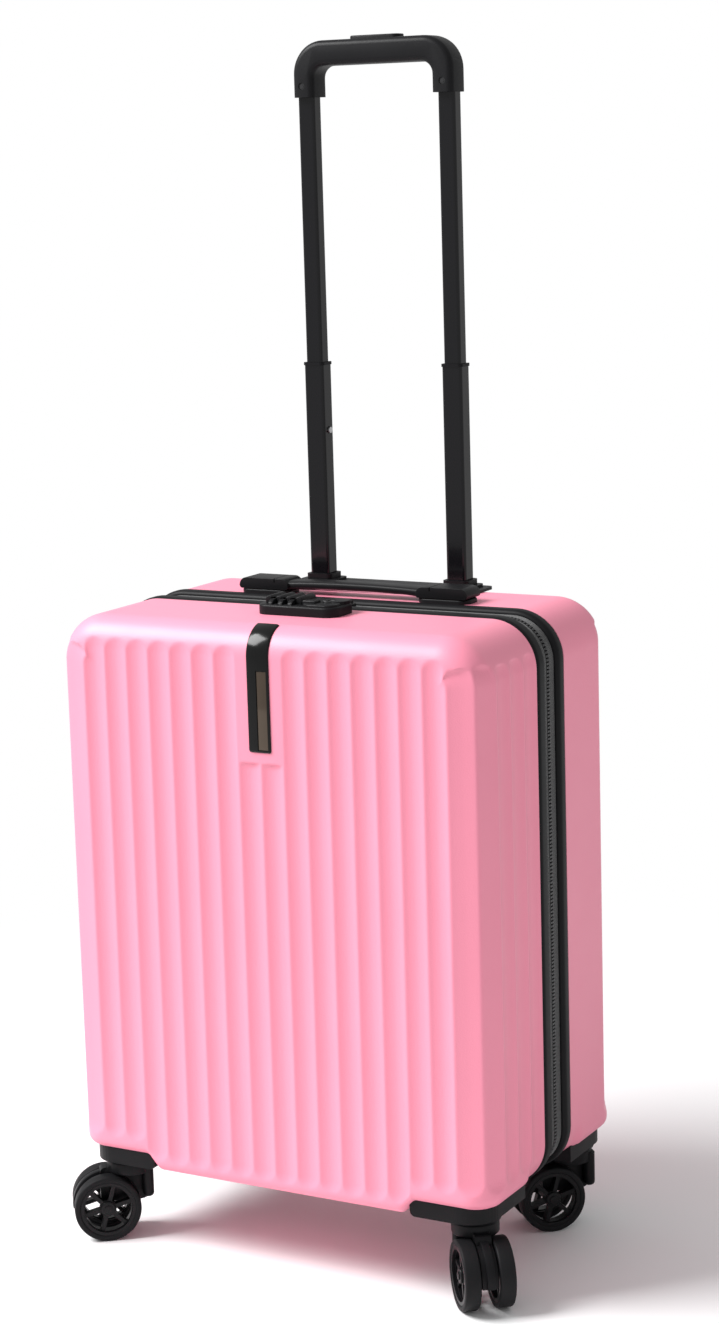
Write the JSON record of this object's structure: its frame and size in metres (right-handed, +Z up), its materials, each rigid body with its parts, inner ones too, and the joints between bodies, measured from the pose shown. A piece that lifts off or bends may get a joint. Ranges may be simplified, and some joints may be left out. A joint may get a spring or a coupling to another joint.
{
  "type": "hard shell suitcase on wheels",
  "caption": "Fluted hard shell cabin suitcase with zip band, combination lock, carry handle, telescopic trolley handle and swivelling twin-wheel casters.",
  "frame": {"origin": "middle of the footprint, on the floor", "axes": "+Z up, +X to the right seen from the front, -Y towards the front (the lid half); the trolley handle is at the back"},
  "size_m": [0.4248, 0.2793, 0.9881],
  "materials": {
    "shell_pink": "satin moulded ABS with a fine leather-like texture",
    "piping": "semi-gloss extruded rubber",
    "zip_fabric": "woven zip tape",
    "zip_teeth": "moulded nylon teeth",
    "lining": "woven polyester lining on board",
    "strap": "elastic webbing with a moulded buckle",
    "tube": "black anodised, polished",
    "black_plastic": "satin black moulding",
    "grip": "satin black moulding",
    "steel": "bright steel",
    "black_screw": "black screws",
    "badge": "glossy dark chrome look",
    "badge_inlay": "glossy bronze-brown inlay",
    "wheel": "black hub with a rubber tyre",
    "brass": "key cylinder"
  },
  "bodies": {
    "case": {"rear_shell": "shell_pink", "rear_piping": "piping", "rear_zip_tape": "zip_fabric", "rear_zip_teeth": "zip_teeth", "hinge_tape": "zip_fabric", "rear_lining": "lining", "packing_straps": "strap", "outer_tubes": "tube", "trolley_bezel": "black_plastic", "tube_feet": "black_plastic", "carry_handle_bases": "black_plastic", "carry_handle_sleeves": "black_plastic", "carry_handle_springs": "steel", "rear_wheel_housings": "black_plastic", "rear_housing_screws": "black_screw"},
    "lid": {"front_shell": "shell_pink", "front_piping": "piping", "front_zip_tape": "zip_fabric", "front_zip_teeth": "zip_teeth", "front_lining": "lining", "badge_trim": "badge", "badge_inlay": "badge_inlay", "lock_case": "black_plastic", "lock_spindle": "steel", "front_wheel_housings": "black_plastic", "front_housing_screws": "black_screw"},
    "middle_stage": {"middle_tubes": "tube", "middle_tube_collars": "black_plastic", "lower_snap_pins": "steel", "lower_pin_guides": "black_plastic"},
    "grip_stage": {"inner_tubes": "tube", "upper_snap_pins": "steel", "upper_pin_guides": "black_plastic", "trolley_grip": "grip", "grip_screws": "black_screw", "button_spring": "steel"},
    "release": {"release_button": "grip", "release_rods": "steel"},
    "carry_bar": {"carry_handle_grip": "grip"},
    "dial_1": {"lock_dial_1": "black_plastic"},
    "dial_2": {"lock_dial_2": "black_plastic"},
    "dial_3": {"lock_dial_3": "black_plastic"},
    "lock_button": {"lock_release_button": "black_plastic"},
    "key_cylinder": {"lock_key_cylinder": "brass"},
    "slider_left": {"zip_slider_left": "steel"},
    "slider_right": {"zip_slider_right": "steel"},
    "puller_left": {"zip_puller_left": "steel"},
    "puller_right": {"zip_puller_right": "steel"},
    "caster_front_left": {"caster_fork_front_left": "black_plastic"},
    "wheel_front_left_left": {"wheel_front_left_left": "wheel"},
    "wheel_front_left_right": {"wheel_front_left_right": "wheel"},
    "caster_front_right": {"caster_fork_front_right": "black_plastic"},
    "wheel_front_right_left": {"wheel_front_right_left": "wheel"},
    "wheel_front_right_right": {"wheel_front_right_right": "wheel"},
    "caster_rear_left": {"caster_fork_rear_left": "black_plastic"},
    "wheel_rear_left_left": {"wheel_rear_left_left": "wheel"},
    "wheel_rear_left_right": {"wheel_rear_left_right": "wheel"},
    "caster_rear_right": {"caster_fork_rear_right": "black_plastic"},
    "wheel_rear_right_left": {"wheel_rear_right_left": "wheel"},
    "wheel_rear_right_right": {"wheel_rear_right_right": "wheel"}
  },
  "joints": [
    {"name": "lid_hinge", "type": "hinge", "parent": "case", "child": "lid", "pos_m": [-0.194, 0.006, 0.3], "axis": [0, 0, -1], "range_deg": [0, 170]},
    {"name": "middle_stage_slide", "type": "slide", "parent": "case", "child": "middle_stage", "axis": [0, 0, -1], "range_m": [0, 0.175], "deforming": ["lower_snap_pins"]},
    {"name": "grip_stage_slide", "type": "slide", "parent": "middle_stage", "child": "grip_stage", "axis": [0, 0, -1], "range_m": [0, 0.2166], "deforming": ["upper_snap_pins"]},
    {"name": "release_press", "type": "slide", "parent": "grip_stage", "child": "release", "axis": [0, 0, -1], "range_m": [0, 0.0024], "stiffness_N_per_m": 600, "springref_m": -0.01, "deforming": ["button_spring"]},
    {"name": "carry_lift", "type": "slide", "parent": "case", "child": "carry_bar", "axis": [0, 0, 1], "range_m": [0, 0.012], "stiffness_N_per_m": 250, "springref_m": -0.012, "deforming": ["carry_handle_springs"]},
    {"name": "dial_1_turn", "type": "hinge", "parent": "lid", "child": "dial_1", "pos_m": [-0.024, -0.053, 0.5392], "axis": [1, 0, 0], "continuous": true},
    {"name": "dial_2_turn", "type": "hinge", "parent": "lid", "child": "dial_2", "pos_m": [-0.015, -0.053, 0.5392], "axis": [1, 0, 0], "continuous": true},
    {"name": "dial_3_turn", "type": "hinge", "parent": "lid", "child": "dial_3", "pos_m": [-0.006, -0.053, 0.5392], "axis": [1, 0, 0], "continuous": true},
    {"name": "lock_button_press", "type": "slide", "parent": "lid", "child": "lock_button", "axis": [0, 0, -1], "range_m": [0, 0.0012], "stiffness_N_per_m": 300, "springref_m": -0.003},
    {"name": "key_turn", "type": "hinge", "parent": "lid", "child": "key_cylinder", "pos_m": [0.0215, -0.043, 0.54], "axis": [0, 0, 1], "range_deg": [0, 90]},
    {"name": "slider_left_run", "type": "slide", "parent": "case", "child": "slider_left", "axis": [-1, 0, 0], "range_m": [0, 0.132]},
    {"name": "puller_left_flip", "type": "hinge", "parent": "slider_left", "child": "puller_left", "pos_m": [-0.011, 0.0048, 0.5357], "axis": [-1, 0, 0], "range_deg": [0, 150]},
    {"name": "slider_right_run", "type": "slide", "parent": "case", "child": "slider_right", "axis": [1, 0, 0], "range_m": [0, 0.132]},
    {"name": "puller_right_flip", "type": "hinge", "parent": "slider_right", "child": "puller_right", "pos_m": [0.011, 0.0048, 0.5357], "axis": [-1, 0, 0], "range_deg": [0, 150]},
    {"name": "swivel_front_left", "type": "hinge", "parent": "lid", "child": "caster_front_left", "pos_m": [-0.163, -0.088, 0.06], "axis": [0, 0, 1], "continuous": true},
    {"name": "spin_front_left_left", "type": "hinge", "parent": "caster_front_left", "child": "wheel_front_left_left", "pos_m": [-0.17093, -0.11196, 0.028], "axis": [0.6157, -0.788, 0], "continuous": true},
    {"name": "spin_front_left_right", "type": "hinge", "parent": "caster_front_left", "child": "wheel_front_left_right", "pos_m": [-0.18817, -0.0899, 0.028], "axis": [0.6157, -0.788, 0], "continuous": true},
    {"name": "swivel_front_right", "type": "hinge", "parent": "lid", "child": "caster_front_right", "pos_m": [0.163, -0.088, 0.06], "axis": [0, 0, 1], "continuous": true},
    {"name": "spin_front_right_left", "type": "hinge", "parent": "caster_front_right", "child": "wheel_front_right_left", "pos_m": [0.18734, -0.09466, 0.028], "axis": [0.7547, 0.6561, 0], "continuous": true},
    {"name": "spin_front_right_right", "type": "hinge", "parent": "caster_front_right", "child": "wheel_front_right_right", "pos_m": [0.16621, -0.11303, 0.028], "axis": [0.7547, 0.6561, 0], "continuous": true},
    {"name": "swivel_rear_left", "type": "hinge", "parent": "case", "child": "caster_rear_left", "pos_m": [-0.163, 0.088, 0.06], "axis": [0, 0, 1], "continuous": true},
    {"name": "spin_rear_left_left", "type": "hinge", "parent": "caster_rear_left", "child": "wheel_rear_left_left", "pos_m": [-0.1655, 0.11311, 0.028], "axis": [-0.8829, 0.4695, 0], "continuous": true},
    {"name": "spin_rear_left_right", "type": "hinge", "parent": "caster_rear_left", "child": "wheel_rear_left_right", "pos_m": [-0.14078, 0.09997, 0.028], "axis": [-0.8829, 0.4695, 0], "continuous": true},
    {"name": "swivel_rear_right", "type": "hinge", "parent": "case", "child": "caster_rear_right", "pos_m": [0.163, 0.088, 0.06], "axis": [0, 0, 1], "continuous": true},
    {"name": "spin_rear_right_left", "type": "hinge", "parent": "caster_rear_right", "child": "wheel_rear_right_left", "pos_m": [0.15805, 0.06325, 0.028], "axis": [0.7071, -0.7071, 0], "continuous": true},
    {"name": "spin_rear_right_right", "type": "hinge", "parent": "caster_rear_right", "child": "wheel_rear_right_right", "pos_m": [0.13825, 0.08305, 0.028], "axis": [0.7071, -0.7071, 0], "continuous": true}
  ]
}
